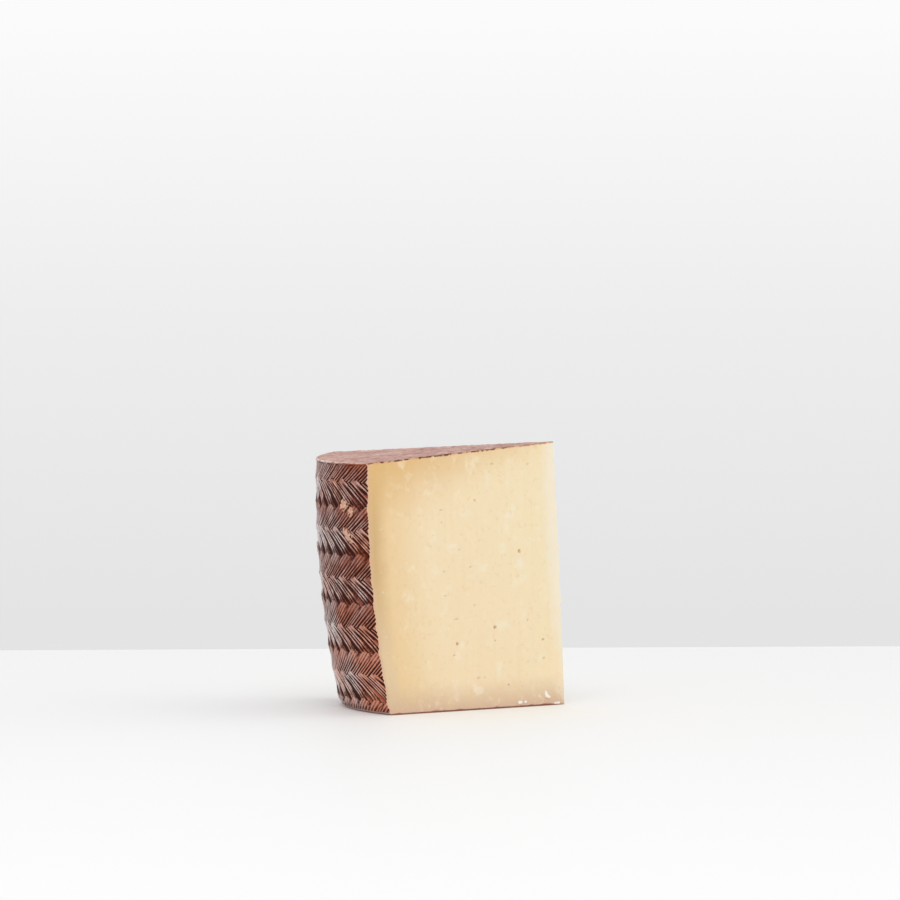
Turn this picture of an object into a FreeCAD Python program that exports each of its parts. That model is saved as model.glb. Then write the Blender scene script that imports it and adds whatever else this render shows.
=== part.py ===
"""A wedge of hard pressed sheep's milk cheese, cut from a small barrel-sided wheel.

The wheel's side keeps the print of the plaited grass belt that it was pressed in: rows of
short strands that slant one way and then the other, like a herringbone. Two knife cuts that
meet at the wheel's axis leave a wedge with two flat cut faces, a strip of rind round its back,
and the wheel's top and bottom rinds.

Millimetres. The bodies are drawn in the wheel's own frame, with the wheel's axis on Z and the
middle of the wedge on -X. The wedge's Placement then leans it back onto its flat base: +Z up,
the cut tip towards +X, the rind towards -X and the origin under the middle of its box.
"""

import FreeCAD, Part
import math
import os
import Sketcher

NODE = "cheese_wedge"

# ---------------------------------------------------------------- sizes
SIZES = {
    # the whole wheel
    "wheel_radius": 99,  # at its widest
    "wheel_height": 109,  # along the axis, from table to crown
    "widest_height": 74,  # where the side bulges most
    "barrel_radius": 404,  # curve of the side, seen edge on
    "crown_rise": 1.7,  # the top rises this much from the side to the axis
    "top_rim_round": 1.5,
    "base_rim_round": 5,
    # the cut piece
    "wedge_angle": 60,
    "lean_angle": 3,  # the underside is trimmed at this slope, so the piece leans back
    # the plaited belt's print
    "top_margin": 2.8,  # plain rind between the top and the first row
    "first_row": 5.2,  # height of the first row, which the rim cuts short
    "falling_row": 10.9,  # height of a row whose strands fall towards -Y
    "rising_row": 8.9,  # height of a row whose strands rise towards -Y
    "row_gap": 0.5,  # the raised line between two rows
    "strand_spacing": 10.36,  # from strand to strand around the wheel
    "strand_slant": 33,  # from the level
    "strand_width": 5.2,
    "strand_depth": 0.8,
}

doc = FreeCAD.newDocument("SheepCheese")
sheet = doc.addObject("Spreadsheet::Sheet", "Sizes")
for line, (alias, value) in enumerate(SIZES.items(), start=1):
    sheet.set(f"A{line}", str(value))
    sheet.setAlias(f"A{line}", alias)
doc.recompute()

RADIUS = "Sizes.wheel_radius"
SIDE_TOP = "(Sizes.wheel_height - Sizes.crown_rise)"  # where the side would meet the top
LEAN = "(Sizes.lean_angle * 1deg)"
SLANT = "(Sizes.strand_slant * 1deg)"


# ---------------------------------------------------------------- helpers
def number(text):
    """What an expression comes to."""
    found = sheet.evalExpression(text)
    return float(getattr(found, "Value", found))


def new_body(name, label):
    body = doc.addObject("PartDesign::Body", name)
    body.Label = label
    return body


def origin_feature(body, role):
    """One of a body's own origin planes or axes."""
    return next(f for f in body.Origin.OriginFeatures if f.Role == role)


def new_sketch(body, name, plane):
    sketch = body.newObject("Sketcher::SketchObject", name)
    sketch.AttachmentSupport = [(origin_feature(body, plane), "")]
    sketch.MapMode = "FlatFace"
    return sketch


def dimension(sketch, name, constraint, text):
    """Adds a named constraint and ties its value to an expression."""
    sketch.renameConstraint(sketch.addConstraint(constraint), name)
    sketch.setExpression(f"Constraints.{name}", text)


def place_point(sketch, name, line, end, x, y):
    """Ties a point to a place in the sketch, each coordinate an expression or None."""
    for axis, text in (("X", x), ("Y", y)):
        if text is not None:
            distance = Sketcher.Constraint("Distance" + axis, -1, 1, line, end, number(text))
            dimension(sketch, f"{name}_{axis.lower()}", distance, text)


def outline(sketch, corners):
    """A closed outline of straight lines through corners, each given by two expressions."""
    points = [FreeCAD.Vector(number(x), number(y), 0) for x, y in corners]
    ends = points[1:] + points[:1]
    lines = [sketch.addGeometry(Part.LineSegment(a, b), False) for a, b in zip(points, ends)]
    for here, after in zip(lines, lines[1:] + lines[:1]):
        sketch.addConstraint(Sketcher.Constraint("Coincident", here, 2, after, 1))
    for line, (x, y) in zip(lines, corners):
        place_point(sketch, f"corner{line + 1}", line, 1, x, y)


def rectangle(sketch, half_width, bottom, top):
    """A closed rectangle, as wide to the left of the axis as to its right."""
    left = f"-{half_width}"
    outline(sketch, [(left, bottom), (half_width, bottom), (half_width, top), (left, top)])


def rebuild(what):
    doc.recompute()
    broken = [o.Name for o in doc.Objects if {"Invalid", "Error"} & set(o.State)]
    if broken:
        raise RuntimeError(f"{what}: {', '.join(broken)} failed")


def must_shrink(feature, before):
    if feature.Shape.Volume >= before:
        raise RuntimeError(f"{feature.Name} cuts nothing")


def cut(body, name, sketch, length):
    """A pocket as long as the expression says, half of it on each side of its sketch."""
    before = body.Tip.Shape.Volume
    pocket = body.newObject("PartDesign::Pocket", name)
    pocket.Profile = sketch
    pocket.SideType = "Symmetric"
    pocket.setExpression("Length", length)
    rebuild(name)
    must_shrink(pocket, before)


# ---------------------------------------------------------------- the wheel
def half_profile(body):
    """Half of the wheel's section. It starts below the table, where the base is trimmed later."""
    radius = number(RADIUS)
    bulge = number("Sizes.barrel_radius")
    top_heading = f"180deg - atan(Sizes.crown_rise / {RADIUS})"
    foot_level = f"-{RADIUS} * tan{LEAN}"

    def side(z):
        sideways = math.sqrt(bulge**2 - (z - number("Sizes.widest_height")) ** 2)
        return FreeCAD.Vector(radius - bulge + sideways, z, 0)

    round_size = number("Sizes.top_rim_round")
    foot, heel = FreeCAD.Vector(0, number(foot_level), 0), side(number(foot_level))
    corner, crown = side(number(SIDE_TOP)), FreeCAD.Vector(0, number("Sizes.wheel_height"), 0)
    side_end = side(corner.y - round_size)
    top_start = corner + FreeCAD.Vector(-round_size, 0, 0)
    rim_middle = corner + FreeCAD.Vector(-0.3 * round_size, -0.3 * round_size, 0)

    sketch = new_sketch(body, "HalfProfile", "XZ_Plane")
    bottom = sketch.addGeometry(Part.LineSegment(foot, heel), False)
    barrel = sketch.addGeometry(Part.Arc(heel, side(number(SIDE_TOP) / 2), side_end), False)
    rim = sketch.addGeometry(Part.Arc(side_end, rim_middle, top_start), False)
    top = sketch.addGeometry(Part.LineSegment(top_start, crown), False)
    axis = sketch.addGeometry(Part.LineSegment(crown, foot), False)
    for joint in ((bottom, 2, barrel, 1), (top, 2, axis, 1), (axis, 2, bottom, 1)):
        sketch.addConstraint(Sketcher.Constraint("Coincident", *joint))
    for smooth in ((barrel, 2, rim, 1), (rim, 2, top, 1)):
        sketch.addConstraint(Sketcher.Constraint("Tangent", *smooth))
    sketch.addConstraint(Sketcher.Constraint("Horizontal", bottom))
    place_point(sketch, "foot", bottom, 1, "0", foot_level)
    place_point(sketch, "crown", axis, 1, "0", "Sizes.wheel_height")
    place_point(sketch, "bulge", barrel, 3, f"{RADIUS} - Sizes.barrel_radius", "Sizes.widest_height")
    dimension(sketch, "bulge_radius", Sketcher.Constraint("Radius", barrel, bulge), "Sizes.barrel_radius")
    dimension(sketch, "rim_radius", Sketcher.Constraint("Radius", rim, round_size), "Sizes.top_rim_round")
    heading = Sketcher.Constraint("Angle", top, math.radians(number(top_heading)))
    dimension(sketch, "top_heading", heading, top_heading)
    return sketch


def turn_wheel(body):
    wheel = body.newObject("PartDesign::Revolution", "Wheel")
    wheel.Profile = half_profile(body)
    wheel.ReferenceAxis = (origin_feature(body, "Z_Axis"), [""])
    wheel.Angle = 360
    rebuild("wheel")


def trim_base(body):
    """The flat base: a plane through the foot of the axis that rises towards the rind."""
    far, rise = f"2 * {RADIUS}", f"2 * {RADIUS} * tan{LEAN}"
    sketch = new_sketch(body, "TableLine", "XZ_Plane")
    outline(sketch, [(f"-{far}", rise), (f"-{far}", f"-{far}"), (far, f"-{far}"), (far, f"-{rise}")])
    cut(body, "Base", sketch, f"4 * {RADIUS}")


def base_rim_edge(feature):
    """The round edge between the side and the base."""
    for index, edge in enumerate(feature.Shape.Edges, start=1):
        middle = edge.valueAt((edge.FirstParameter + edge.LastParameter) / 2)
        off_axis = math.hypot(middle.x, middle.y) > number(RADIUS) / 2
        if off_axis and edge.BoundBox.ZMax < number("Sizes.wheel_height") / 2:
            return f"Edge{index}"
    raise RuntimeError("the wheel has no base rim")


def round_base_rim(body):
    feature = body.Tip
    fillet = body.newObject("PartDesign::Fillet", "BaseRim")
    fillet.Base = (feature, [base_rim_edge(feature)])
    fillet.setExpression("Radius", "Sizes.base_rim_round")
    rebuild("base rim")
    must_shrink(fillet, feature.Shape.Volume)


def cut_wedge(body):
    """Takes away all of the wheel but the wedge. The two cuts meet at the wheel's axis."""
    far = f"1.5 * {RADIUS}"
    wide = f"{far} * tan(Sizes.wedge_angle / 2 * 1deg)"
    sketch = new_sketch(body, "Knives", "XY_Plane")
    left_side = [("0", "0"), (f"-{far}", wide), (f"-{far}", far), (far, far)]
    right_side = [(far, f"-{far}"), (f"-{far}", f"-{far}"), (f"-{far}", f"-{wide}")]
    outline(sketch, left_side + right_side)
    cut(body, "KnifeCuts", sketch, "3 * Sizes.wheel_height")


# ---------------------------------------------------------------- the belt's print
def strands_around():
    """How many strands of the belt go around the wheel."""
    return round(number(f"2 * pi * {RADIUS} / Sizes.strand_spacing"))


def strands_each_side():
    """How many strands cover half of the wedge, with the slant of the last one."""
    half_run = number(f"Sizes.falling_row / tan{SLANT} / 2")
    half_turn = number("Sizes.wedge_angle / 2") + math.degrees(half_run / number(RADIUS))
    return math.ceil(half_turn * strands_around() / 360)


def row_size(index):
    """A row's height and its top edge, as expressions. The rows alternate below the first."""
    if index == 0:
        return "Sizes.first_row", f"({SIDE_TOP} - Sizes.top_margin)"
    falling, rising = index // 2, (index - 1) // 2
    above = f"Sizes.first_row + {falling} * Sizes.falling_row + {rising} * Sizes.rising_row"
    height = "Sizes.falling_row" if index % 2 else "Sizes.rising_row"
    return height, f"({SIDE_TOP} - Sizes.top_margin - {above.replace(' + ', ' - ')})"


def belt_row(index):
    """One row of the belt's strands, as they lie against the wheel.

    A strand is a round rod. Its section stands square to it, on the barrel's surface at the
    middle of its row: turned about the wheel's axis to the first strand's place, tipped with the
    slope of the barrel and slanted. The rod is repeated around the axis, and the row is then
    trimmed level at its top and bottom.
    """
    row, row_top = row_size(index)
    level = f"({row_top} - {row} / 2)"
    rise = f"({level} - Sizes.widest_height)"
    out = f"({RADIUS} - Sizes.barrel_radius + sqrt(Sizes.barrel_radius^2 - {rise}^2))"
    bend = "(Sizes.strand_width^2 / 4 + Sizes.strand_depth^2) / (2 * Sizes.strand_depth)"
    pitch = f"360deg / {strands_around()}"
    first_turn = f"(-{strands_each_side()} * {pitch})"
    slanting = "-1" if index % 2 else "1"

    body = new_body(f"BeltRow{index + 1}", f"belt_row_{index + 1}")
    section = new_sketch(body, f"StrandSection{index + 1}", "XZ_Plane")
    place = f"vector(-{out} * cos{first_turn}; {level}; {out} * sin{first_turn})"
    turned = f"rotation(vector(0; 1; 0); 180deg + {first_turn})"
    tipped = f"rotation(vector(0; 0; 1); asin({rise} / Sizes.barrel_radius))"
    slanted = f"rotation(vector(1; 0; 0); {slanting} * Sizes.strand_slant)"
    section.setExpression("AttachmentOffset", f"placement({place}; {turned} * {tipped} * {slanted})")
    middle = FreeCAD.Vector(number(f"{bend} - Sizes.strand_depth"), 0, 0)
    rod_section = Part.Circle(middle, FreeCAD.Vector(0, 0, 1), number(bend))
    circle = section.addGeometry(rod_section, False)
    section.addConstraint(Sketcher.Constraint("PointOnObject", circle, 3, -1))
    dimension(section, "bend", Sketcher.Constraint("Radius", circle, number(bend)), bend)
    place_point(section, "middle", circle, 3, f"{bend} - Sizes.strand_depth", None)

    rod = body.newObject("PartDesign::Pad", f"Strand{index + 1}")
    rod.Profile = section
    rod.SideType = "Symmetric"
    rod.setExpression("Length", f"({row} + 2 * Sizes.strand_width * cos{SLANT}) / sin{SLANT}")
    rebuild(rod.Name)

    ring = body.newObject("PartDesign::PolarPattern", f"Strands{index + 1}")
    ring.Originals = [rod]
    ring.Axis = (origin_feature(body, "Z_Axis"), [""])
    ring.Mode = "Spacing"
    ring.setExpression("Offset", pitch)
    ring.Occurrences = 2 * strands_each_side() + 1
    body.Tip = ring
    rebuild(ring.Name)

    band = new_sketch(body, f"RowBand{index + 1}", "XZ_Plane")
    half_band = f"({row} - Sizes.row_gap) / 2"
    rectangle(band, f"2 * {RADIUS}", f"-2 * {RADIUS}", f"2 * {RADIUS}")
    rectangle(band, f"1.5 * {RADIUS}", f"{level} - {half_band}", f"{level} + {half_band}")
    cut(body, f"Trimmed{index + 1}", band, f"4 * {RADIUS}")
    return body


def belt():
    """Rows from the top rim down, until one reaches the table."""
    table = number(f"{RADIUS} * tan{LEAN}")
    rows = []
    while number(row_size(len(rows))[1]) > table:
        rows.append(belt_row(len(rows)))
    return rows


def press(body, rows):
    """The print that the belt leaves in the rind."""
    before = body.Tip.Shape.Volume
    pressed = body.newObject("PartDesign::Boolean", "BeltPrint")
    pressed.Type = "Cut"
    pressed.setObjects(rows)
    body.Tip = pressed
    rebuild(pressed.Name)
    must_shrink(pressed, before)


# ---------------------------------------------------------------- build
wedge = new_body("Wedge", NODE)
turn_wheel(wedge)
trim_base(wedge)
round_base_rim(wedge)
cut_wedge(wedge)
press(wedge, belt())

# The piece leans back until its base is level, and its box stands over the origin.
lean = FreeCAD.Rotation(FreeCAD.Vector(0, 1, 0), -number("Sizes.lean_angle"))
wedge.Placement = FreeCAD.Placement(FreeCAD.Vector(0, 0, 0), lean)
box = wedge.Shape.optimalBoundingBox()
wedge.Placement.Base = FreeCAD.Vector(-box.Center.x, -box.Center.y, -box.ZMin)
rebuild("placement")

shape = wedge.Shape
if shape.isNull() or not shape.isValid() or len(shape.Solids) != 1:
    raise RuntimeError("the wedge is not one valid solid")
os.makedirs("parts", exist_ok=True)
shape.exportStep(f"parts/{NODE}.step")
box = shape.optimalBoundingBox()
print(f"{NODE}: {shape.Volume:.0f} mm3, {box.XLength:.2f} x {box.YLength:.2f} x {box.ZLength:.2f}")
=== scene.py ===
"""The looks of a wedge of hard pressed sheep's milk cheese, made around its CAD model.

The wedge is one closed mesh. Half of the wheel's section, a grid, is turned about the wheel's
axis from one knife cut to the other. The print of the plaited grass belt is pressed into its
side, and the underside is flat. The wheel's frame is in millimetres, with its axis on Z and the
middle of the wedge on -X. The finished mesh leans back onto its base like the CAD solid.
"""

import collections
import functools
import math
import random

import bmesh
import bpy
from mathutils import Matrix, Vector, noise


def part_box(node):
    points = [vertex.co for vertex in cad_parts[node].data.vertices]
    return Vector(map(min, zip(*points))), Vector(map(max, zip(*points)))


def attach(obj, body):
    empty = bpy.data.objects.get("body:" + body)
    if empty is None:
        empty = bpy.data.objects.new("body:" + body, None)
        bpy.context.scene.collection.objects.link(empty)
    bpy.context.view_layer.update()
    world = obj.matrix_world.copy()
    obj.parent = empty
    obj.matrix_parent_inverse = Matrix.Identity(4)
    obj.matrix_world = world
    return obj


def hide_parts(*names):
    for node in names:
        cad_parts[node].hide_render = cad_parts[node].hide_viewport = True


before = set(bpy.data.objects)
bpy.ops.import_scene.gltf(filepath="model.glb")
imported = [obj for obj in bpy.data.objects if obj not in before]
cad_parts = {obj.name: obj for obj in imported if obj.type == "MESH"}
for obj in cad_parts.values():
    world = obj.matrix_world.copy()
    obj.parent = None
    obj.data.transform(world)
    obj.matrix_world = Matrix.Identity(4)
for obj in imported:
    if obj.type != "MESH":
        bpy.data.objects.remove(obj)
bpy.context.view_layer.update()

MM = 0.001

# ---------------------------------------------------------------- sizes of the wheel, mm
RADIUS = 99  # at its widest
HEIGHT = 109
WIDEST = 74  # the level where the side bulges most
BARREL = 404  # curve of the side, seen edge on
CROWN = 1.7  # rise of the top from the side to the axis
TOP_ROUND = 1.5
BASE_ROUND = 5
HALF_ANGLE = math.radians(30)  # from the middle of the wedge to a knife cut
LEAN = math.radians(3)

# ---------------------------------------------------------------- the belt's print
COLUMNS = 160  # round the rind, from cut to cut
STRAND = 16  # columns from strand to strand
SLANT = math.radians(33)
ROUND_STEP = RADIUS * 2 * HALF_ANGLE / COLUMNS
LEVEL_STEP = ROUND_STEP * math.tan(SLANT)  # so that a strand runs along the grid's diagonals
BELT_TOP = 104.35
FIRST_ROW, FALLING_ROW, RISING_ROW = 12, 26, 21  # levels
TOP_LEVEL, PRINT_LEVEL = -11, -5.5  # where the first row would start, and where its print ends
IN_STEPS = 100  # from the axis to the side


# ---------------------------------------------------------------- the wheel's section
def evenly(start, end, count):
    """Count values after start, the last of them end."""
    return [start + (end - start) * n / count for n in range(1, count + 1)]


def rim_centre(size, level_of):
    """The middle of a rim's round, which touches the barrel and a line at the given level."""
    out = RADIUS - size
    for _ in range(30):
        up = level_of(out)
        out = RADIUS - BARREL + math.sqrt((BARREL - size) ** 2 - (up - WIDEST) ** 2)
    return Vector((out, up))


def barrel_out(up):
    return RADIUS - BARREL + math.sqrt(BARREL**2 - (up - WIDEST) ** 2)


def barrel_tilt(up):
    return math.asin((up - WIDEST) / BARREL)


def on_round(centre, size, tilt):
    return centre.x + size * math.cos(tilt), centre.y + size * math.sin(tilt), tilt


def section_edges():
    """The section's side, top and base as lists of (out, up, tilt of the surface, level).

    The side runs from the base up, the other two from the axis out. The rounds of the rims are
    shared out between them.
    """
    fall = math.atan(CROWN / RADIUS)
    top_tilt, base_tilt = math.pi / 2 - fall, LEAN - math.pi / 2
    crown_line = lambda out: HEIGHT - CROWN * out / RADIUS - TOP_ROUND / math.cos(fall)
    base_line = lambda out: out * math.tan(LEAN) + BASE_ROUND / math.cos(LEAN)
    upper, lower = rim_centre(TOP_ROUND, crown_line), rim_centre(BASE_ROUND, base_line)
    upper_tilt = math.atan2(upper.y - WIDEST, upper.x - RADIUS + BARREL)
    lower_tilt = math.atan2(lower.y - WIDEST, lower.x - RADIUS + BARREL)
    upper_mid, lower_mid = (upper_tilt + top_tilt) / 2, (lower_tilt + base_tilt) / 2
    high = upper.y + TOP_ROUND * math.sin(upper_tilt)
    low = lower.y + BASE_ROUND * math.sin(lower_tilt)
    level = lambda up: (BELT_TOP - up) / LEVEL_STEP

    side = []
    for tilt in [lower_mid] + evenly(lower_mid, lower_tilt, 8):
        drop = BASE_ROUND * (lower_tilt - tilt) / LEVEL_STEP
        side.append((*on_round(lower, BASE_ROUND, tilt), level(low) + drop))
    for n in range(math.floor(level(low) - 0.3), math.ceil(level(high) + 0.3) - 1, -1):
        up = BELT_TOP - n * LEVEL_STEP
        side.append((barrel_out(up), up, barrel_tilt(up), n))
    for tilt in [upper_tilt] + evenly(upper_tilt, upper_mid, 4):
        rise = TOP_ROUND * (tilt - upper_tilt) / LEVEL_STEP
        side.append((*on_round(upper, TOP_ROUND, tilt), level(high) - rise))

    top_end = upper.x + TOP_ROUND * math.cos(top_tilt)
    top = [(out, HEIGHT - CROWN * out / RADIUS, top_tilt, 0)
           for out in [0] + evenly(0, top_end, IN_STEPS - 4)]
    top += [(*on_round(upper, TOP_ROUND, tilt), 0) for tilt in evenly(top_tilt, upper_mid, 4)]
    base_end = lower.x + BASE_ROUND * math.cos(base_tilt)
    base = [(out, out * math.tan(LEAN), base_tilt, 0)
            for out in [0] + evenly(0, base_end, IN_STEPS - 8)]
    base += [(*on_round(lower, BASE_ROUND, tilt), 0) for tilt in evenly(base_tilt, lower_mid, 8)]
    return side, top, base


def section(bm):
    """A grid that fills the section, standing at the far knife cut."""
    side, top, base = section_edges()
    ups = len(side) - 1
    bmesh.ops.create_grid(bm, x_segments=IN_STEPS, y_segments=ups, size=0.5)
    names = ("inward", "upward", "tilt", "level")
    inward, upward, tilt, level = (bm.verts.layers.float.new(name) for name in names)
    for vert in bm.verts:
        a, b = vert.co.x + 0.5, vert.co.y + 0.5
        i, j = round(a * IN_STEPS), round(b * ups)
        foot, crown = Vector(base[0][:2]), Vector(top[0][:2])
        place = (foot.lerp(crown, b) * (1 - a) + Vector(side[j][:2]) * a
                 + Vector(base[i][:2]) * (1 - b) + Vector(top[i][:2]) * b
                 - (foot.lerp(Vector(side[0][:2]), a) * (1 - b)
                    + crown.lerp(Vector(side[-1][:2]), a) * b))
        vert.co = (-place.x, 0, place.y)
        vert[inward], vert[upward], vert[level] = i, j, side[j][3]
        vert[tilt] = side[j][2] if i == IN_STEPS else top[i][2] if j == ups else base[i][2]
    thin_rows(bm, inward, upward, ups)
    bmesh.ops.rotate(bm, verts=bm.verts, matrix=Matrix.Rotation(-HALF_ANGLE, 3, "Z"))
    return ups


def thin_rows(bm, inward, upward, ups):
    """Away from the rind the cut faces need only every second level."""
    spare = []
    for edge in bm.edges:
        a, b = edge.verts
        if round(a[upward]) == round(b[upward]) and round(a[upward]) % 2 and not edge.is_boundary:
            if max(a[inward], b[inward]) < IN_STEPS - 3.5 and 2 < a[upward] < ups - 2:
                spare.append(edge)
    bmesh.ops.dissolve_edges(bm, edges=spare, use_verts=True)


def turn_section(bm, ups):
    """Turns the section's outline about the axis, and closes the other cut with a copy."""
    inward = bm.verts.layers.float["inward"]
    near_cut = bmesh.ops.duplicate(bm, geom=bm.verts[:] + bm.edges[:] + bm.faces[:])["geom"]
    near_verts = [g for g in near_cut if isinstance(g, bmesh.types.BMVert)]
    turn = Matrix.Rotation(2 * HALF_ANGLE, 3, "Z")
    bmesh.ops.rotate(bm, verts=near_verts, matrix=turn)
    copied = set(near_verts)
    rim = [e for e in bm.edges if e.is_boundary and e.verts[0] not in copied
           and max(v[inward] for v in e.verts) > 0.5]
    ends = list(dict.fromkeys(v for e in rim for v in e.verts))
    bmesh.ops.spin(bm, geom=ends + rim, cent=(0, 0, 0), axis=(0, 0, 1), dvec=(0, 0, 0),
                   angle=2 * HALF_ANGLE, steps=COLUMNS, use_duplicate=False)
    bmesh.ops.remove_doubles(bm, verts=bm.verts, dist=0.01)
    bmesh.ops.recalc_face_normals(bm, faces=bm.faces)


# ---------------------------------------------------------------- surfaces
SIDE, TOP, BASE, CUT = range(4)


def sort_faces(bm, ups):
    """Gives each face the number of its surface, which is also its material's."""
    inward, upward = (bm.verts.layers.float[name] for name in ("inward", "upward"))
    for face in bm.faces:
        face.smooth = True
        if all(v[inward] > IN_STEPS - 0.5 for v in face.verts):
            face.material_index = SIDE
        elif all(v[upward] > ups - 0.5 for v in face.verts):
            face.material_index = TOP
        elif all(v[upward] < 0.5 for v in face.verts):
            face.material_index = BASE
        else:
            face.material_index = CUT
    for edge in bm.edges:
        kinds = {f.material_index for f in edge.link_faces}
        edge.smooth = not (CUT in kinds and (len(kinds) > 1 or on_axis(edge)))


def turn_of(point):
    """A point's angle round the axis from the middle of the wedge, positive to the near cut."""
    return math.atan2(-point.y, -point.x) if math.hypot(point.x, point.y) > 0.01 else 0


def column_at(angle):
    return (angle + HALF_ANGLE) / (2 * HALF_ANGLE) * COLUMNS


def on_axis(edge):
    return all(math.hypot(v.co.x, v.co.y) < 0.01 for v in edge.verts)


def merge_base(bm):
    """The flat base needs no grid, apart from a strip along its rim."""
    inward = bm.verts.layers.float["inward"]
    flat = [f for f in bm.faces
            if f.material_index == BASE and max(v[inward] for v in f.verts) < IN_STEPS - 9.5]
    bmesh.ops.dissolve_faces(bm, faces=flat, use_verts=True)


# ---------------------------------------------------------------- the belt
@functools.lru_cache(None)
def belt_rows():
    """Each row's (first level, last level, whether it falls, its lead), from the top rim down.

    The lead carries a strand on from row to row: a column's number plus the lead at its level
    counts the strand's columns from its left edge.
    """
    rows, level, lead, falls = [], 0, 5, False
    height = FIRST_ROW
    while level < 250:
        rows.append((level, level + height, falls, lead))
        level, lead = level + height, lead + (-height if falls else height)
        falls = not falls
        height = FALLING_ROW if falls else RISING_ROW
    return rows


def zigzag(x, rounded):
    """A wave from 0 to 1 and back as x goes up by 1."""
    if rounded:
        return abs(math.sin(math.pi * x))
    return 1 - abs(2 * (x % 1) - 1)


@functools.lru_cache(None)
def row_end(column, index):
    """The level where a row ends at a column. The next row's strands lap over it in points."""
    first, last, falls, lead = belt_rows()[index]
    track = column + lead + (-(last - first) if falls else last - first)
    sway = noise.noise(Vector((column / 23, index * 3.7, 5))) * 1.2
    lap = 4.6 * zigzag(track / STRAND, True) if falls else 3.8 * zigzag(track / STRAND + 0.2, False)
    return last + sway + 1.5 - lap


@functools.lru_cache(None)
def strand_marks(index, strand):
    """What makes one strand of the belt differ from the next."""
    rng = random.Random(1000 * index + strand)
    falls = belt_rows()[index][2]
    crests = rng.choice([(0, 8, 12), (0, 7, 11), (0, 7, 12), (0, 6, 9, 13)] if falls
                        else [(0, 4, 8, 12), (0, 3, 7, 11), (0, 4, 8, 13), (0, 5, 8, 12)])
    # How dark a strand's hollows are painted: partly grime, partly painted shade.
    return {"crests": crests + (STRAND,), "depth": rng.uniform(0.7, 1.3),
            "dirt_and_shade": rng.uniform(0.65, 1.1), "heights": [rng.uniform(0.0, 0.14) for _ in range(5)],
            "lift": rng.uniform(-0.03, 0.09), "bare": rng.uniform(0.3, 1.1)}


def smooth_step(value, low, high):
    share = min(max((value - low) / (high - low), 0), 1)
    return share * share * (3 - 2 * share)


# A place on a strand: its column, columns from the strand's left edge, share of the way up the
# row, share of the way across the blade, how much it is in the blade's hollow or on its crest,
# and the depth of the row there.
Spot = collections.namedtuple("Spot", "column across along part hollow crest dip")


def wide_blade(spot, marks):
    """The leftmost blade of a falling strand: a patch at its lower end, red near the near cut. Its dark
    hollow, seam and pocket and its darker lower end are painted shade, partly grime; its pale crest and upper
    corner are painted highlight, the crest's with a dusting.
    """
    column, across, along, part, hollow, crest, dip = spot
    corner = smooth_step(along, 0.72, 0.9) * smooth_step(across, 9, 5)
    opened = smooth_step(along, 0.7, 0.35)
    pocket = smooth_step(along, 0.4, 0.05) * smooth_step(part, 0, 0.3)
    depth = 0.60 * dip + (0.32 * hollow**0.6 + 0.25 * pocket) * (1 - 0.6 * corner)
    seam = smooth_step(part, 0.45, 0.8) * smooth_step(part, 1.08, 0.92)
    red = marks["bare"] * smooth_step(column, 120, 150)
    leaf = hollow ** (1.5 - 1.25 * smooth_step(along, 0.5, 0.2))
    # Painted shade: the hollow, the seam along the blade and the pocket at its lower end.
    dark = max(leaf * (1 - opened * min(0.95, 0.05 + red)), 0.9 * seam,
               0.9 * hollow * smooth_step(along, 0.14, 0)) * (1 - 0.8 * corner)
    bare = opened * hollow**0.4 * min(1, red)
    # Painted shade over the lower part of the row.
    dark = max(dark, 0.3 * smooth_step(along, 0.45, 0.15) * (1 - bare))
    # Painted highlight on the crest and on the upper corner.
    pale = max(crest * smooth_step(along, 0.05, 0.45), 0.5 * corner)
    return depth, dark, pale, bare


def narrow_blade(spot, marks):
    """One of the other blades of a falling strand. Its dark hollow and darker lower end are painted shade,
    partly grime, and its pale crest is painted highlight with a dusting.
    """
    column, across, along, part, hollow, crest, dip = spot
    corner = smooth_step(along, 0.72, 0.9) * smooth_step(across, 9, 5)
    depth = 0.60 * dip + 0.52 * hollow**1.2
    upper = 0.8 + 0.2 * smooth_step(along, 0, 0.5)
    # Painted shade in the hollow, darker towards the row's lower end, partly grime.
    dark = hollow**1.1 * marks["dirt_and_shade"] * upper * (1 - 0.3 * corner)
    dark = max(dark, 0.22 * smooth_step(along, 0.45, 0.15))
    bare = 0.3 * hollow * (1 - along)
    pale = crest * smooth_step(along, 0.0, 0.35)
    return depth, dark, pale, bare


def rising_blade(spot, marks):
    """A blade of a rising strand, whose upper end is a rounded, pale lobe with a dark outline. The paleness
    of the lobe and of the upper half, which faces up, is painted highlight; the outline and the hollows' dark
    are painted shade, the hollows' partly grime.
    """
    column, across, along, part, hollow, crest, dip = spot
    bend = (2 * across / STRAND - 1) ** 2  # 0 in the strand's middle, 1 at its edges
    reach = smooth_step(along, 0.95, 0.15)
    depth = 0.45 * dip + 0.25 * bend * along**5 + (0.16 + 0.38 * reach) * hollow**1.3
    # Painted shade: the dark outline round the lobe, and the hollows.
    outline = 0.85 * smooth_step(bend, 0.55, 1) * smooth_step(along, 0.55, 0.95)
    dark = max(hollow**1.6 * (0.38 + 0.62 * reach * marks["dirt_and_shade"]), outline)
    bare = 0.5 * hollow * reach * smooth_step(column, 60, 130)
    # Painted highlight: the lobe and the upper half of the row, which face up to the light.
    lobe = 0.6 * (1 - bend) * smooth_step(along, 0.6, 0.95) * (1 - 0.5 * hollow)
    pale = max(crest * (0.5 + 0.2 * reach), lobe)
    pale = max(pale, 0.55 * smooth_step(along, 0.3, 0.75) * (1 - 0.7 * hollow)) * (1 - outline)
    return depth, dark, pale, bare


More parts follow.
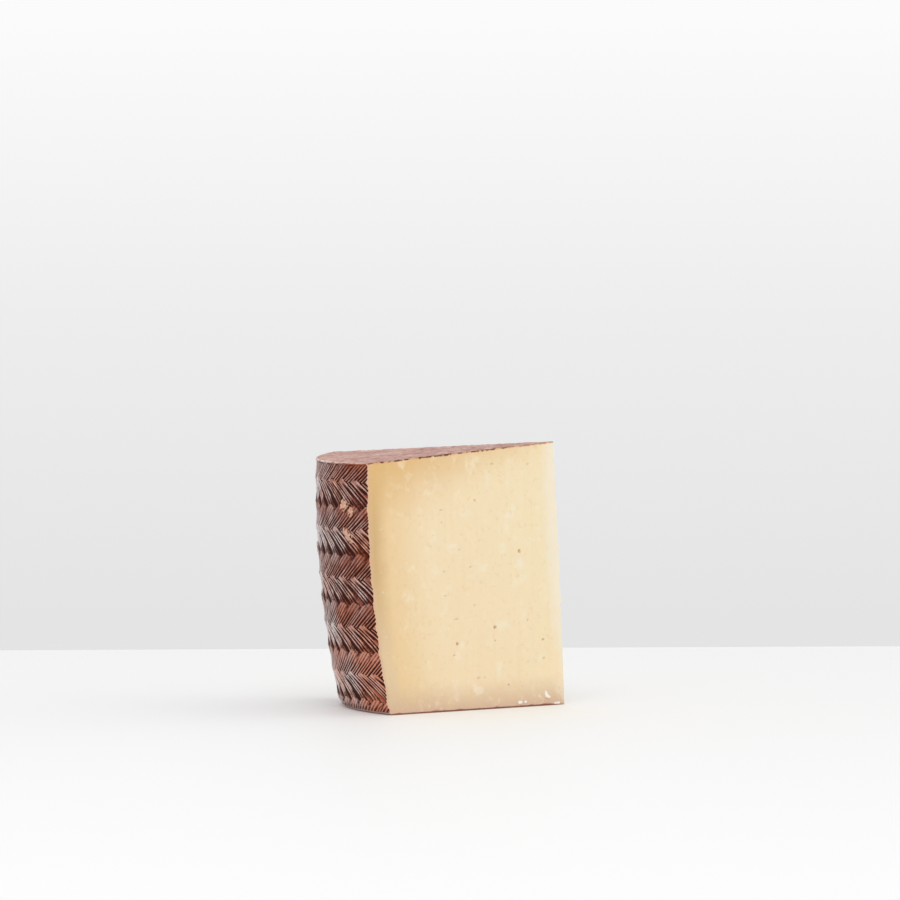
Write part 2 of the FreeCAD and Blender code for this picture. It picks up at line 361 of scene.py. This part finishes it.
def belt_print(column, level):
    """The print at a place on the side: its depth in mm, and how dark, pale and bare it is. Dark is painted
    shade, partly grime; pale is painted highlight with a dusting.
    """
    rows = belt_rows()
    index = next(n for n in range(len(rows)) if level < row_end(round(column), n))
    first, last, falls, lead = rows[index]
    track = column + lead + (first - level if falls else level - first)
    strand, across = math.floor(track / STRAND + 1e-6), track % STRAND
    marks = strand_marks(index, strand)
    start = row_end(round(column), index - 1) if index else TOP_LEVEL
    end = row_end(round(column), index)
    along = min(max((end - level) / (end - start), 0), 1)  # from the row's lower edge up

    crests = marks["crests"]
    blade = max(n for n in range(len(crests) - 1) if across + 1e-6 >= crests[n])
    left, right = crests[blade], crests[blade + 1]
    part = (across - left) / (right - left)
    heights = marks["heights"]
    lower = heights[blade] * (1 - part) + heights[blade + 1] * part * (right < STRAND)
    crest = max(0, 1 - min(across - left, right - across) / 1.6)
    dip = math.sin(math.pi * (1 - along)) ** 0.8 * marks["depth"]
    spot = Spot(column, across, along, part, math.sin(math.pi * part), crest, dip)
    shape = rising_blade if not falls else narrow_blade if blade else wide_blade
    depth, dark, pale, bare = shape(spot, marks)
    return depth + lower + marks["lift"], dark, pale * (1 - 3 * lower), bare


# Places where the print is torn off: angle round from the middle in degrees, height, half the
# length, half the width in mm, and whether it runs along a falling strand.
TEARS = [(20, 90, 3.2, 2.2, False), (23, 87, 2.2, 1.6, False), (21, 78, 4.0, 1.5, True),
         (-17, 52, 3.4, 1.6, True), (-9, 71, 2.0, 1.4, False)]


def torn(column, up):
    """1 in the middle of a torn place, 0 outside."""
    most = 0
    for degrees, height, long, wide, falls in TEARS:
        away = Vector(((column - COLUMNS / 2 - degrees / 60 * COLUMNS) * ROUND_STEP, up - height))
        if away.length < 5:
            if falls:
                away.rotate(Matrix.Rotation(SLANT, 2))
            ragged = noise.noise(Vector((away.x / 1.5, away.y / 1.1, degrees)))
            most = max(most, 1.15 + 1.3 * ragged - math.hypot(away.x / long, away.y / wide))
    return min(max(most * 2, 0), 1)


def side_relief(column, level):
    """The print, worn and uneven, up to the rims: its depth in mm and the five things seen of it."""
    depth, dark, pale, bare = belt_print(column, max(level, PRINT_LEVEL))
    place = Vector((column / 9, level / 9, 3))
    fade = smooth_step(level, -5.6, -4.0)  # the belt ends just below the top rim
    tear = torn(column, BELT_TOP - level * LEVEL_STEP)
    rough = 0.10 + 0.10 * noise.noise(Vector((column / 2, level / 2, 9)))
    ragged = noise.noise(Vector((column / 5, 0, 17)))
    # A shallow hollow under the top rim's lip, painted dark: painted shadow.
    under_lip = smooth_step(level, -5.6, -4.6) * smooth_step(level, -2.6, -4.2)
    under_lip *= max(0, 0.4 + 1.2 * ragged)
    depth = (depth * fade + 0.2 * under_lip) * (1 - tear) + rough * tear
    swell = 0.05 + 0.05 * noise.noise(place / 3) + 0.04 * noise.noise(place)
    # A pale line along the top rim's lip: painted highlight.
    lip = smooth_step(level, -4.8, -6.0) * (0.65 + 0.8 * ragged)
    # Pale grey away from the near cut, most where the rind is seen edge on: partly a dusting, partly painted
    # sheen.
    dust_and_sheen = smooth_step(column + 45 * noise.noise(place / 3), 150, 62)
    dust_and_sheen *= 0.5 + 0.5 * smooth_step(column, -20, 55)  # less towards the far cut
    return (depth + swell * fade, max(dark * fade, 0.8 * under_lip), max(pale * fade, lip),
            bare * fade, tear, dust_and_sheen)


def top_relief(place):
    """The pressed, fibrous crust of the top, mm deep."""
    slow = noise.noise(Vector((place.x / 14, place.y / 14, 1)))
    felt = noise.noise(Vector((place.x / 2.6, place.y / 2.6, 4)))
    fine = noise.noise(Vector((place.x / 1.1, place.y / 1.1, 8)))
    return 0.40 + 0.14 * slow + 0.26 * felt + 0.16 * fine


# ---------------------------------------------------------------- pressing and cutting
PRESS_REACH = 7  # how far in from the side the print moves the cut's points, mm
LEAN_REACH = 28  # how far up the flat base's lean moves them, mm


def press(bm, ups):
    """Moves every surface in to its relief, and takes the inside along near the rind."""
    layers = bm.verts.layers.float
    inward, upward, tilt, level = (layers[n] for n in ("inward", "upward", "tilt", "level"))
    relief, *seen = (layers.new(n) for n in ("relief", "dark", "pale", "bare", "torn", "dust_and_sheen"))
    for vert in bm.verts:
        out, angle = math.hypot(vert.co.x, vert.co.y), turn_of(vert.co)
        spoke = Vector((-math.cos(angle), -math.sin(angle), 0))
        column = column_at(angle)
        if abs(column - round(column)) < 0.01:
            column = round(column)
        depth_in, depth_down = RADIUS * (1 - vert[inward] / IN_STEPS), HEIGHT - vert.co.z
        side_share = max(0, 1 - depth_in / PRESS_REACH) if vert[inward] > 0.5 else 0
        top_share = max(0, 1 - max(depth_down - 2, 0) / 5)
        if vert[upward] > ups - 0.5:
            side_share, top_share = side_share * (vert[inward] / IN_STEPS) ** 8, 1
        move = Vector((0, 0, 0))
        if side_share:
            lean = vert[tilt] if vert[inward] > IN_STEPS - 0.5 else 0
            depth, *looks = side_relief(column, vert[level])
            if vert[upward] < 0.5:
                side_share = 0
            move -= (spoke * math.cos(lean) + Vector((0, 0, math.sin(lean)))) * depth * side_share
            if vert[inward] > IN_STEPS - 0.5:
                vert[relief] = depth
                for layer, look in zip(seen, looks):
                    vert[layer] = look
        if top_share and vert[inward] < IN_STEPS - 0.5:
            depth = top_relief(vert.co) * min(1, (IN_STEPS - vert[inward]) / 4)
            move.z -= depth * top_share
            if vert[upward] > ups - 0.5:
                vert[relief] = depth
        low = max(0, 1 - vert.co.z / LEAN_REACH) ** 2
        move.z += out * (math.cos(angle) - 1) * math.tan(LEAN) * (1 if vert[upward] < 0.5 else low)
        vert.co += move


def measure_depths(bm):
    """How deep each point of a cut lies below the side, the top and the base, mm."""
    layers = bm.verts.layers.float
    inward, level = layers["inward"], layers["level"]
    side_depth, top_depth, base_depth = (layers.new(n) for n in ("side_depth", "top_depth", "base_depth"))
    for vert in bm.verts:
        out, angle = math.hypot(vert.co.x, vert.co.y), turn_of(vert.co)
        column = 0 if angle < 0 else COLUMNS
        share = max(0, 1 - RADIUS * (1 - vert[inward] / IN_STEPS) / PRESS_REACH)
        pressed = side_relief(column, vert[level])[0] if share else 0
        vert[side_depth] = max(0, barrel_out(vert.co.z) - pressed - out)
        vert[top_depth] = max(0, HEIGHT - CROWN * out / RADIUS - 0.3 - vert.co.z)
        vert[base_depth] = max(0, vert.co.z - out * math.cos(angle) * math.tan(LEAN))


def on_cut(point):
    """A point of a knife cut as (distance from the axis, height)."""
    return Vector((math.hypot(point.x, point.y), point.z))


# Eyes and slits in the near cut: out from the axis, up, half width, half height, depth, all mm.
NEAR_EYES = [
    (55, 30, 1.0, 0.9, 0.9), (35, 35, 1.2, 0.9, 0.7), (20, 65, 1.0, 1.2, 0.7),
    (55, 40, 1.8, 0.5, 0.35), (60, 85, 1.3, 0.6, 0.35), (60, 80, 0.8, 0.6, 0.3),
    (65, 75, 0.8, 0.5, 0.2), (60, 60, 1.1, 0.7, 0.3), (60, 50, 1.0, 0.6, 0.3),
    (45, 45, 1.0, 0.6, 0.3), (45, 15, 1.1, 0.7, 0.4), (10, 20, 1.1, 0.8, 0.4),
]
# Pale, crystalline places in the near cut, level with it.
NEAR_SPOTS = [(20, 60, 2.8, 3.6, 0), (55, 70, 3.2, 1.6, 0), (25, 80, 3.6, 1.8, 0),
              (45, 10, 4.0, 2.6, 0), (55, 25, 2.4, 3.0, 0)]
# Crumbs that the knife left standing near the foot of the tip, as above but standing out.
NEAR_CRUMBS = [(10, 5, 1.1, 2.0, -0.9), (9, 4, 1.6, 1.0, -0.6), (24, 3, 1.7, 1.0, -0.7),
               (21, 3, 1.1, 0.7, -0.5), (2, 3, 1.6, 1.5, -0.4), (4, 1, 2.4, 0.6, -0.4)]
NEAR_COUNT, FAR_COUNT = 36, 20  # marks in each cut, with those that come by chance
EYE_REACHES = (2.6, 1.5)  # how far round an eye the cut is divided, and divided again, mm


def eyes(near):
    """The eyes of one cut: those of the near one as given, those of the far one by chance."""
    rng = random.Random(11 if near else 12)
    found = NEAR_EYES + NEAR_SPOTS + NEAR_CRUMBS if near else []
    while len(found) < (NEAR_COUNT if near else FAR_COUNT):
        found.append((rng.uniform(10, 90), rng.uniform(8, 102), rng.uniform(0.6, 1.2),
                      rng.uniform(0.4, 0.8), rng.uniform(0.15, 0.5)))
    return found


def open_eyes(bm, near):
    """Divides the cut finely round each eye and sinks it. Crumbs have a negative depth."""
    layers = bm.verts.layers.float
    deep, crumb = (layers.get(name) or layers.new(name) for name in ("eye", "crumb"))
    normal = Vector((math.sin(HALF_ANGLE), math.cos(HALF_ANGLE) * (-1 if near else 1), 0))
    places = eyes(near)
    for reach in EYE_REACHES:
        edges = []
        for edge in bm.edges:
            if edge.link_faces[0].material_index != CUT or edge.link_faces[-1].material_index != CUT:
                continue
            middle = (edge.verts[0].co + edge.verts[1].co) / 2
            if (middle.y < 0) != near or math.hypot(middle.x, middle.y) < 3:
                continue
            if any((on_cut(middle) - Vector(eye[:2])).length < reach for eye in places):
                edges.append(edge)
        bmesh.ops.subdivide_edges(bm, edges=edges, cuts=1, use_grid_fill=True)
    for vert in bm.verts:
        if (vert.co.y < 0) != near or math.hypot(vert.co.x, vert.co.y) < 3:
            continue
        if any(f.material_index != CUT for f in vert.link_faces):
            continue
        flat = on_cut(vert.co)
        for out, up, wide, high, depth in places:
            apart = flat - Vector((out, up))
            if apart.length < max(2.5, wide, high):
                ragged = 1 + 0.5 * noise.noise(Vector((flat.x * 2, flat.y * 2, out)))
                share = math.hypot(apart.x / wide, apart.y / high) * 1.25 / ragged
                if share < 1:
                    sink = (1 - share**2) ** 0.6
                    vert.co -= normal * depth * sink
                    if depth > 0:
                        # How deep the eye is; the paste paints it darker by this, as painted shade.
                        vert[deep] = sink * min(1, depth / 0.7)
                    else:
                        vert[crumb] = max(vert[crumb], sink * (1 if depth else 0.3))


TIP_OUT = 0.9  # how far the blunt tip stands out from where the cuts meet, mm
TIP_RISE = 60  # the height where it stands out by that much, mm


def tip_out(up):
    return TIP_OUT * min(1, up / TIP_RISE)


def drag_knife(bm):
    """The cuts aren't quite flat: slow waves, and a blunt, torn edge at the tip."""
    for vert in bm.verts:
        out = math.hypot(vert.co.x, vert.co.y)
        if out < 0.01:
            ragged = 0.45 + 0.35 * noise.noise(Vector((0, 0, vert.co.z / 3))) \
                + 0.2 * noise.noise(Vector((0, 5, vert.co.z / 0.9)))
            vert.co.x += tip_out(vert.co.z) - max(ragged, 0.05)
        elif all(f.material_index == CUT for f in vert.link_faces):
            side = 1 if vert.co.y > 0 else -1
            slow = noise.noise(Vector((out / 30, vert.co.z / 30, side)))
            fine = noise.noise(Vector((out / 6, vert.co.z / 6, 7 * side)))
            depth = (0.16 + 0.14 * slow + 0.03 * fine) * min(1, out / 6)
            vert.co -= Vector((math.sin(HALF_ANGLE), side * math.cos(HALF_ANGLE), 0)) * depth
            vert.co.x += tip_out(vert.co.z) * max(0, 1 - out / 5)


def follow_strands(bm):
    """Splits the side's faces along the strands, so that the blades' crests are edges."""
    layers = bm.verts.layers.float
    for face in [f for f in bm.faces if f.material_index == SIDE and len(f.verts) == 4]:
        level = sum(v[layers["level"]] for v in face.verts) / 4
        column = column_at(sum(turn_of(v.co) for v in face.verts) / 4)
        rows = belt_rows()
        index = next(n for n in range(len(rows)) if level < row_end(round(column), n))
        upper_left = min(face.verts, key=lambda v: v[layers["level"]] * 0.01 + turn_of(v.co))
        corners = face.verts[:]
        start = corners.index(upper_left)
        pair = (start, (start + 2) % 4) if rows[index][2] else ((start + 1) % 4, (start + 3) % 4)
        bmesh.utils.face_split(face, corners[pair[0]], corners[pair[1]])


def stand_on_base(bm):
    """Leans the wheel's frame back onto the base, with the tip's foot where the CAD has it."""
    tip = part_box("cheese_wedge")[1].x
    bmesh.ops.rotate(bm, verts=bm.verts, matrix=Matrix.Rotation(-LEAN, 3, "Y"))
    bmesh.ops.scale(bm, verts=bm.verts, vec=(MM, MM, MM))
    bmesh.ops.translate(bm, verts=bm.verts, vec=(tip, 0, 0))
    for vert in bm.verts:
        vert.co.z = max(vert.co.z, 0)


def piece(name, bm, finishes):
    mesh = bpy.data.meshes.new(name)
    bm.to_mesh(mesh)
    bm.free()
    for finish in finishes:
        mesh.materials.append(finish)
    made = bpy.data.objects.new(name, mesh)
    bpy.context.scene.collection.objects.link(made)
    return made


def cheese():
    bm = bmesh.new()
    ups = section(bm)
    turn_section(bm, ups)
    sort_faces(bm, ups)
    merge_base(bm)
    press(bm, ups)
    measure_depths(bm)
    for near in (True, False):
        open_eyes(bm, near)
    drag_knife(bm)
    follow_strands(bm)
    stand_on_base(bm)
    made = piece("cheese", bm, [pressed_rind(), top_crust(), shaded_base_crust(), paste()])
    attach(made, "root")
    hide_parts("cheese_wedge")
    return made


# ---------------------------------------------------------------- finishes
def shade(red, green, blue):
    """A colour given as it looks on a screen, 0 to 255."""
    linear = [((c / 255 + 0.055) / 1.055) ** 2.4 if c > 10 else c / 3294 for c in (red, green, blue)]
    return (*linear, 1)


class Finish:
    """A material and short names for the nodes that it is made of."""

    def __init__(self, name):
        self.material = bpy.data.materials.new(name)
        self.material.use_nodes = True
        self.tree = self.material.node_tree
        self.tree.nodes.clear()
        self.place = self.node("TexCoord").outputs["Object"]

    def node(self, kind, values=(), **settings):
        made = self.tree.nodes.new("ShaderNode" + kind)
        for key, value in settings.items():
            setattr(made, key, value)
        for key, value in dict(values).items():
            self.put(made.inputs[key], value)
        return made

    def put(self, socket, value):
        if isinstance(value, bpy.types.NodeSocket):
            self.tree.links.new(value, socket)
        else:
            socket.default_value = value

    def calc(self, operation, *values, clamp=False):
        return self.node("Math", enumerate(values), operation=operation, use_clamp=clamp).outputs[0]

    def ramp(self, value, low, high, start=0.0, end=1.0):
        """Start where value is low, end where it is high, smooth between."""
        made = self.node("MapRange", {"Value": value, "From Min": low, "From Max": high,
                                      "To Min": start, "To Max": end},
                         interpolation_type="SMOOTHSTEP")
        return made.outputs["Result"]

    def mix(self, share, first, second):
        made = self.node("Mix", data_type="RGBA")
        for socket, value in zip((made.inputs[0], made.inputs[6], made.inputs[7]),
                                 (share, first, second)):
            self.put(socket, value)
        return made.outputs[2]

    def grain(self, size, detail=3.0, roughness=0.55, stretch=None):
        """Noise with features of about size mm."""
        place = self.place
        if stretch:
            place = self.node("Mapping", {"Vector": place, "Scale": stretch}).outputs[0]
        return self.node("TexNoise", {"Vector": place, "Scale": 1 / (size * MM), "Detail": detail,
                                      "Roughness": roughness}).outputs["Fac"]

    def own(self, name):
        return self.node("Attribute", attribute_name=name).outputs["Fac"]

    def bump(self, height, strength, distance):
        return self.node("Bump", {"Height": height, "Strength": strength,
                                  "Distance": distance}).outputs[0]

    def finish(self, **values):
        names = {key.replace("_", " ").title().replace("Ior", "IOR"): v for key, v in values.items()}
        shader = self.node("BsdfPrincipled", names)
        out = self.node("OutputMaterial")
        self.tree.links.new(shader.outputs[0], out.inputs["Surface"])
        return self.material


def pressed_rind():
    """The side: red-brown, dark in the print's grooves, which is painted shade, partly grime, and pale on its
    crests, which is painted highlight with a dusting.
    """
    f = Finish("belt_pressed_rind")
    dark, pale, bare, tear, dust_and_sheen, level = (f.own(name) for name in (
        "dark", "pale", "bare", "torn", "dust_and_sheen", "level"))
    cloud, speck, streak = f.grain(10), f.grain(1.3, detail=5), f.grain(3.5, detail=4)
    centred = f.calc("SUBTRACT", speck, 0.5)
    body = f.mix(f.ramp(cloud, 0.35, 0.65), shade(154, 80, 54), shade(150, 90, 74))
    body = f.mix(f.ramp(level, 110, 205, 0, 0.9), body, shade(222, 143, 115))
    # Pale grey where the rind is dusted, and painted sheen where it is seen edge on.
    body = f.mix(f.calc("MULTIPLY", dust_and_sheen, f.ramp(cloud, 0.3, 0.6, 0.45, 1)), body, shade(194, 172, 168))
    # Darker red towards the base rim: the rind's own red with painted shade of its lower round.
    body = f.mix(f.ramp(level, 230, 242, 0, 0.85), body, shade(142, 66, 46))
    body = f.mix(f.ramp(speck, 0.45, 0.75, 0, 0.4), body, shade(98, 40, 28))
    red = f.mix(f.ramp(streak, 0.35, 0.65), shade(148, 48, 18), shade(158, 76, 48))
    body = f.mix(bare, body, red)
    # Painted shade in the grooves and pockets, partly grime: near black red-brown.
    depth = f.calc("ADD", dark, f.calc("MULTIPLY", centred, 0.7))
    shaded_groove = f.mix(dust_and_sheen, shade(50, 8, 2), shade(44, 16, 12))
    body = f.mix(f.ramp(depth, 0.06, 0.62, 0, 0.98), body, shaded_groove)
    # Painted highlight on the crests, with a dusting: pinkish near the near cut, near white where the rind is
    # seen edge on, which is painted sheen.
    dust_and_highlight = f.ramp(streak, 0.30, 0.62, 0.45, 1)
    crest = f.ramp(f.calc("ADD", f.calc("MULTIPLY", pale, dust_and_highlight), f.calc("MULTIPLY", centred, 0.5)), 0.1, 0.85)
    line = f.mix(f.ramp(cloud, 0.4, 0.6), shade(234, 168, 142), shade(228, 182, 168))
    body = f.mix(crest, body, f.mix(dust_and_sheen, line, shade(246, 236, 234)))
    ragged = f.calc("ADD", tear, f.calc("MULTIPLY", centred, 0.8))
    body = f.mix(f.ramp(ragged, 0.35, 0.6), body,
                 f.mix(f.ramp(speck, 0.3, 0.8), shade(228, 186, 158), shade(176, 122, 98)))
    skin = f.bump(f.grain(0.5, detail=4), 0.3, 0.0003)
    gloss = f.ramp(f.calc("SUBTRACT", depth, crest), -0.5, 0.5, 0.36, 0.85)
    return f.finish(base_color=body, roughness=gloss, normal=skin, specular_ior_level=0.12,
                    sheen_weight=0.06, sheen_roughness=0.35)


def crust(name, light, deep):
    """The top or base: a pinkish brown, dusted crust of pressed fibres, paler where its relief stands high
    and darker where it lies deep, which is painted highlight and painted shade.
    """
    f = Finish(name)
    relief = f.own("relief")
    cloud, felt = f.grain(18), f.grain(2.4, detail=6, roughness=0.7)
    speck = f.grain(7, detail=5, roughness=0.7)
    body = f.mix(f.ramp(cloud, 0.35, 0.65), light, deep)
    body = f.mix(f.ramp(speck, 0.44, 0.68, 0, 0.7), body, f.mix(0.6, light, shade(236, 216, 212)))
    body = f.mix(f.ramp(felt, 0.50, 0.68, 0, 0.85), body, shade(138, 82, 68))
    # Painted highlight on the raised places, painted shade in the deep ones.
    body = f.mix(f.ramp(relief, 0.30, 0.10, 0, 0.55), body, shade(236, 216, 212))
    body = f.mix(f.ramp(relief, 0.42, 0.70, 0, 0.8), body, shade(120, 66, 52))
    skin = f.bump(felt, 0.7, 0.0007)
    return f.finish(base_color=body, roughness=0.65, normal=skin, specular_ior_level=0.3)


def top_crust():
    return crust("top_crust", shade(204, 162, 148), shade(184, 138, 126))


# A darker red than the top: the crust's own red with painted shade of the underside.
def shaded_base_crust():
    return crust("shaded_base_crust", shade(156, 84, 62), shade(128, 60, 42))


def paste_depths(f, side, top, base):
    """The paste's colour by its depth below the rind, with the golden corner, and a pinkish tan base that is
    partly painted shade.
    """
    wander = f.calc("MULTIPLY", f.calc("SUBTRACT", f.grain(9), 0.5), 8.0)
    deep = f.calc("ADD", side, f.calc("MULTIPLY", wander, 0.6))
    band = f.mix(f.ramp(base, 15, 65), shade(230, 204, 164), shade(216, 180, 126))
    body = f.mix(f.ramp(deep, 3, 12), band, shade(240, 210, 160))
    body = f.mix(f.ramp(deep, 8, 34), body, shade(247, 225, 187))
    inner = f.ramp(f.calc("ADD", deep, f.calc("MULTIPLY", top, -0.3)), 30, 75, 0, 0.6)
    body = f.mix(inner, body, shade(249, 231, 192))
    corner = f.calc("ADD", f.calc("ADD", top, f.calc("MULTIPLY", side, 0.25)), wander)
    body = f.mix(f.ramp(corner, 0, 34, 0.95, 0), body, shade(228, 188, 126))
    # Pinkish tan close to the base: the paste's own tan with painted shade.
    above_base = f.calc("ADD", base, f.calc("MULTIPLY", wander, 0.5))
    body = f.mix(f.ramp(above_base, 0, 14, 0.95, 0), body, shade(220, 190, 158))
    body = f.mix(f.ramp(above_base, 0, 4.0, 0.7, 0), body, shade(222, 186, 160))
    return body, wander


def paste_grain(f, body, side):
    """Pale and tan mottling, and the knife's faint upright drag marks."""
    pale = f.calc("MULTIPLY", f.ramp(f.grain(6, detail=5), 0.52, 0.72, 0, 0.5), f.ramp(side, 6, 20))
    body = f.mix(pale, body, shade(251, 238, 210))
    body = f.mix(f.ramp(f.grain(2.2, detail=4), 0.54, 0.72, 0, 0.22), body, shade(222, 184, 128))
    body = f.mix(f.ramp(f.grain(1.5, detail=2), 0.64, 0.76, 0, 0.32), body, shade(252, 240, 216))
    drag = f.ramp(f.grain(2.6, detail=2, stretch=(1, 1, 0.04)), 0.5, 0.75, 0, 0.14)
    return f.mix(drag, body, shade(238, 208, 160))


def crust_edges(f, body, side, top, base):
    """The crust seen edge on round a cut: dashes at the top, scallops, and a dark line at the foot, which is
    the crust's edge with painted contact shadow.
    """
    ragged = f.calc("MULTIPLY", f.calc("SUBTRACT", f.grain(0.9, detail=5), 0.5), 1.0)
    body = f.mix(f.ramp(f.calc("ADD", top, ragged), 0.2, 1.1, 0.75, 0), body, shade(206, 150, 118))
    dashes = f.ramp(f.grain(3.2, detail=3), 0.45, 0.58, 0.0, 0.65)
    rim = f.ramp(f.calc("ADD", f.calc("SUBTRACT", top, dashes), ragged), 0, 0.25, 1, 0)
    body = f.mix(f.calc("MULTIPLY", rim, f.ramp(side, 50, 95, 1, 0.45)), body, shade(108, 54, 40))
    scallops = f.ramp(f.grain(6.5, detail=1), 0.40, 0.62, 0.25, 1.0)
    foot = f.calc("ADD", f.calc("SUBTRACT", base, scallops), f.calc("MULTIPLY", ragged, 0.3))
    foot = f.calc("MULTIPLY", f.ramp(foot, -0.35, 0.35, 0.9, 0), f.ramp(side, 80, 92, 1, 0.1))
    body = f.mix(foot, body, shade(176, 116, 92))
    # The dark line at the foot: the crust's edge with painted contact shadow under it.
    sole_with_contact_shadow = f.ramp(f.calc("ADD", base, f.calc("MULTIPLY", ragged, 0.3)), 0.4, 0.85, 0.9, 0)
    body = f.mix(f.calc("MULTIPLY", sole_with_contact_shadow, f.ramp(side, 82, 94, 1, 0.25)), body, shade(120, 58, 40))
    edge = f.ramp(f.calc("ADD", side, f.calc("MULTIPLY", ragged, 0.4)), 0.3, 2.2, 0.8, 0)
    return f.mix(edge, body, shade(222, 184, 154))


def paste():
    """The cut cheese: ivory in the middle, golden and then tan towards the rind."""
    f = Finish("cut_paste")
    side, top, base, eye, crumb = (f.own(name) for name in (
        "side_depth", "top_depth", "base_depth", "eye", "crumb"))
    body, wander = paste_depths(f, side, top, base)
    body = paste_grain(f, body, side)
    # Eyes darker, golden brown by their depth: painted shade in them.
    body = f.mix(f.ramp(eye, 0.05, 0.9, 0, 0.62), body, shade(196, 146, 78))
    # Paler towards the thin tip: painted light shining through the thin edge.
    tip = f.calc("ADD", side, f.calc("MULTIPLY", wander, 0.4))
    body = f.mix(f.ramp(tip, 90, 97.5), body, shade(246, 235, 212))
    body = crust_edges(f, body, side, top, base)
    body = f.mix(f.ramp(crumb, 0.02, 0.28, 0, 0.42), body, shade(252, 239, 220))
    body = f.mix(f.ramp(crumb, 0.32, 0.6), body, shade(253, 246, 236))
    skin = f.bump(f.grain(2.2, detail=6), 0.2, 0.0004)
    gloss = f.ramp(f.grain(3), 0.3, 0.7, 0.42, 0.6)
    return f.finish(base_color=body, roughness=gloss, normal=skin, subsurface_weight=0.3,
                    subsurface_radius=(1.0, 0.6, 0.35), subsurface_scale=0.002)


# ---------------------------------------------------------------- stage
TABLE_BACK, TABLE_SLOPE = 0.327, 0.09  # where the far edge is at the middle, m, and how askew
TABLE_HALF, TABLE_THICK = 3, 0.03  # half its width, m, and its thickness, m


def table():
    """A pale table. Its far edge runs a little askew."""
    bm = bmesh.new()
    bmesh.ops.create_grid(bm, x_segments=1, y_segments=1, size=TABLE_HALF)
    for vert in bm.verts:
        if vert.co.y > 0:
            vert.co.y = TABLE_BACK - vert.co.x * TABLE_SLOPE
    body = bmesh.ops.extrude_face_region(bm, geom=bm.faces[:])["geom"]
    lower = [g for g in body if isinstance(g, bmesh.types.BMVert)]
    bmesh.ops.translate(bm, verts=lower, vec=(0, 0, -TABLE_THICK))
    bmesh.ops.recalc_face_normals(bm, faces=bm.faces)
    f = Finish("pale_table")
    made = piece("table", bm, [f.finish(base_color=(0.93, 0.93, 0.93, 1), roughness=0.6)])


def backdrop():
    """Soft light from all round, and the pale grey that is seen behind the table."""
    world = bpy.data.worlds.new("studio")
    bpy.context.scene.world = world
    world.use_nodes = True
    tree = world.node_tree
    tree.nodes.clear()

    def output(kind, **settings):
        made = tree.nodes.new("ShaderNode" + kind)
        for key, value in settings.items():
            setattr(made, key, value)
        return made

    place, parts, height = output("TexCoord"), output("SeparateXYZ"), output("MapRange")
    tree.links.new(place.outputs["Generated"], parts.inputs[0])
    tree.links.new(parts.outputs["Z"], height.inputs["Value"])
    height.inputs["From Min"].default_value, height.inputs["From Max"].default_value = -0.0686, 0.0021
    colour = output("ValToRGB")
    tree.links.new(height.outputs[0], colour.inputs[0])
    stops = colour.color_ramp.elements
    stops[0].color, stops[1].color = shade(228, 228, 229), shade(251, 251, 251)
    stops.new(0.5).color = shade(237, 237, 237)
    seen, lit, both = output("Background"), output("Background"), output("MixShader")
    tree.links.new(colour.outputs[0], seen.inputs["Color"])
    lit.inputs["Color"].default_value = (1, 1, 1, 1)
    lit.inputs["Strength"].default_value = 0.84
    rays = output("LightPath")
    either = output("Math", operation="MAXIMUM")
    tree.links.new(rays.outputs["Is Camera Ray"], either.inputs[0])
    tree.links.new(rays.outputs["Is Glossy Ray"], either.inputs[1])
    all_three = output("Math", operation="MAXIMUM")
    tree.links.new(either.outputs[0], all_three.inputs[0])
    tree.links.new(rays.outputs["Is Transmission Ray"], all_three.inputs[1])
    tree.links.new(all_three.outputs[0], both.inputs[0])
    tree.links.new(lit.outputs[0], both.inputs[1])
    tree.links.new(seen.outputs[0], both.inputs[2])
    tree.links.new(both.outputs[0], output("OutputWorld").inputs[0])


def lamp(name, place, size, power, target=(0, 0, 0.05)):
    light = bpy.data.lights.new(name, "AREA")
    light.shape, light.size, light.energy = "DISK", size, power
    made = bpy.data.objects.new(name, light)
    made.location = place
    made.rotation_euler = (Vector(target) - Vector(place)).to_track_quat("-Z", "Y").to_euler()
    bpy.context.scene.collection.objects.link(made)


def lights():
    lamp("key", (-0.3, -1.3, 1.9), 1.6, 11)


def camera():
    """Low and far away, a little to the left of square on to the wedge."""
    data = bpy.data.cameras.new("camera")
    data.lens, data.sensor_width = 338.2, 36
    data.clip_end = 100
    made = bpy.data.objects.new("camera", data)
    made.location = (-0.5234, -3.4254, 0.2755)
    made.rotation_euler = (math.radians(90 - 2.813), 0, math.radians(-8.7446))
    bpy.context.scene.collection.objects.link(made)
    bpy.context.scene.camera = made


# ---------------------------------------------------------------- build
cheese()
table()
backdrop()
lights()
camera()
bpy.context.scene.view_settings.view_transform = "Standard"
